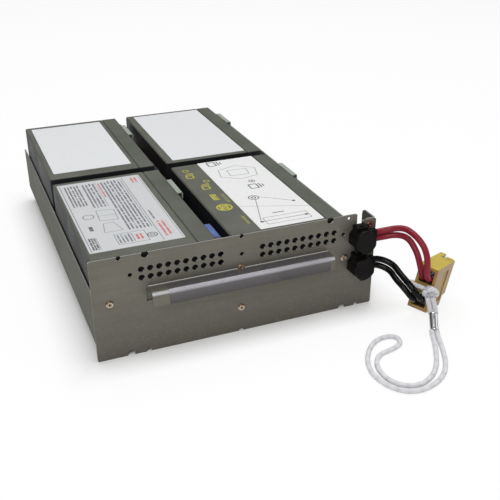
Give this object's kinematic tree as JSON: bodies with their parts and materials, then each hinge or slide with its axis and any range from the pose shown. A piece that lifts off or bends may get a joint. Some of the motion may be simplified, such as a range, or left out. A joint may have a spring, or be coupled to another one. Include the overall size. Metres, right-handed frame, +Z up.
{
  "type": "ups battery cartridge",
  "caption": "Sealed battery blocks lying in an open steel tray behind a vented front plate with a folded grip, wired to a plug with a pull lanyard.",
  "frame": {"origin": "on the surface under the middle of the body, leads and connector left out", "axes": "+X to the right along the front plate, +Y from the front plate towards the back of the tray, +Z up"},
  "size_m": [0.2977, 0.4539, 0.0843],
  "materials": {
    "plate_steel": "satin",
    "tray_steel": "satin",
    "divider_steel": "satin",
    "rivet": "satin",
    "case_plastic": "matte",
    "lid_plastic": "matte",
    "paper": "matte",
    "handle_film": "satin",
    "cover_plastic": "matte",
    "terminal_metal": "satin",
    "sleeve_blue": "matte",
    "sleeve_dark": "matte",
    "screen_sheet": "matte",
    "foam": "matte",
    "lead_red": "satin",
    "lead_black": "satin",
    "bushing_plastic": "satin",
    "connector_plastic": "satin",
    "contact_metal": "polished",
    "lanyard_cord": "matte",
    "ferrule_metal": "polished"
  },
  "bodies": {
    "root": {"tray": "tray_steel", "front_panel": "plate_steel", "handle_label": "handle_film", "panel_rivets": "rivet", "centre_channel": "divider_steel", "side_angle": "divider_steel", "base_pad_left": "foam", "rear_pad_left": "foam", "base_pad_right": "foam", "rear_pad_right": "foam", "battery_case_front_left": "case_plastic", "battery_lid_front_left": "lid_plastic", "battery_terminals_front_left": "terminal_metal", "terminal_sleeves_front_left": "sleeve_dark", "terminal_cover_front_left": "cover_plastic", "block_label_front_left": "paper", "battery_case_front_right": "case_plastic", "battery_lid_front_right": "lid_plastic", "battery_terminals_front_right": "terminal_metal", "terminal_sleeves_front_right": "sleeve_dark", "terminal_cover_front_right": "cover_plastic", "block_label_front_right": "paper", "battery_case_rear_left": "case_plastic", "battery_lid_rear_left": "lid_plastic", "battery_terminals_rear_left": "terminal_metal", "terminal_sleeves_rear_left": "sleeve_dark", "terminal_cover_rear_left": "cover_plastic", "block_label_rear_left": "paper", "battery_case_rear_right": "case_plastic", "battery_lid_rear_right": "lid_plastic", "battery_terminals_rear_right": "terminal_metal", "terminal_sleeves_rear_right": "sleeve_dark", "terminal_cover_rear_right": "cover_plastic", "block_label_rear_right": "paper", "terminal_sleeve_front": "sleeve_blue", "vent_screen": "screen_sheet", "jumper_left": "lead_black", "lead_black_left": "lead_black", "lead_red_left": "lead_red", "jumper_right": "lead_black", "lead_black_right": "lead_black", "lead_red_right": "lead_red", "lead_black_outer": "lead_black", "lead_red_outer": "lead_red", "lead_black_inner": "lead_black", "lead_red_inner": "lead_red", "bushing_lower": "bushing_plastic", "bushing_upper": "bushing_plastic", "connector_housing": "connector_plastic", "contact_red": "contact_metal", "contact_black": "contact_metal", "contact_spring_red": "terminal_metal", "contact_spring_black": "terminal_metal", "lanyard_wrap": "lanyard_cord", "lanyard_knot": "lanyard_cord", "lanyard_strand_right": "lanyard_cord", "lanyard_strand_left": "lanyard_cord", "lanyard_loop": "lanyard_cord", "lanyard_ferrule": "ferrule_metal"}
  },
  "joints": []
}
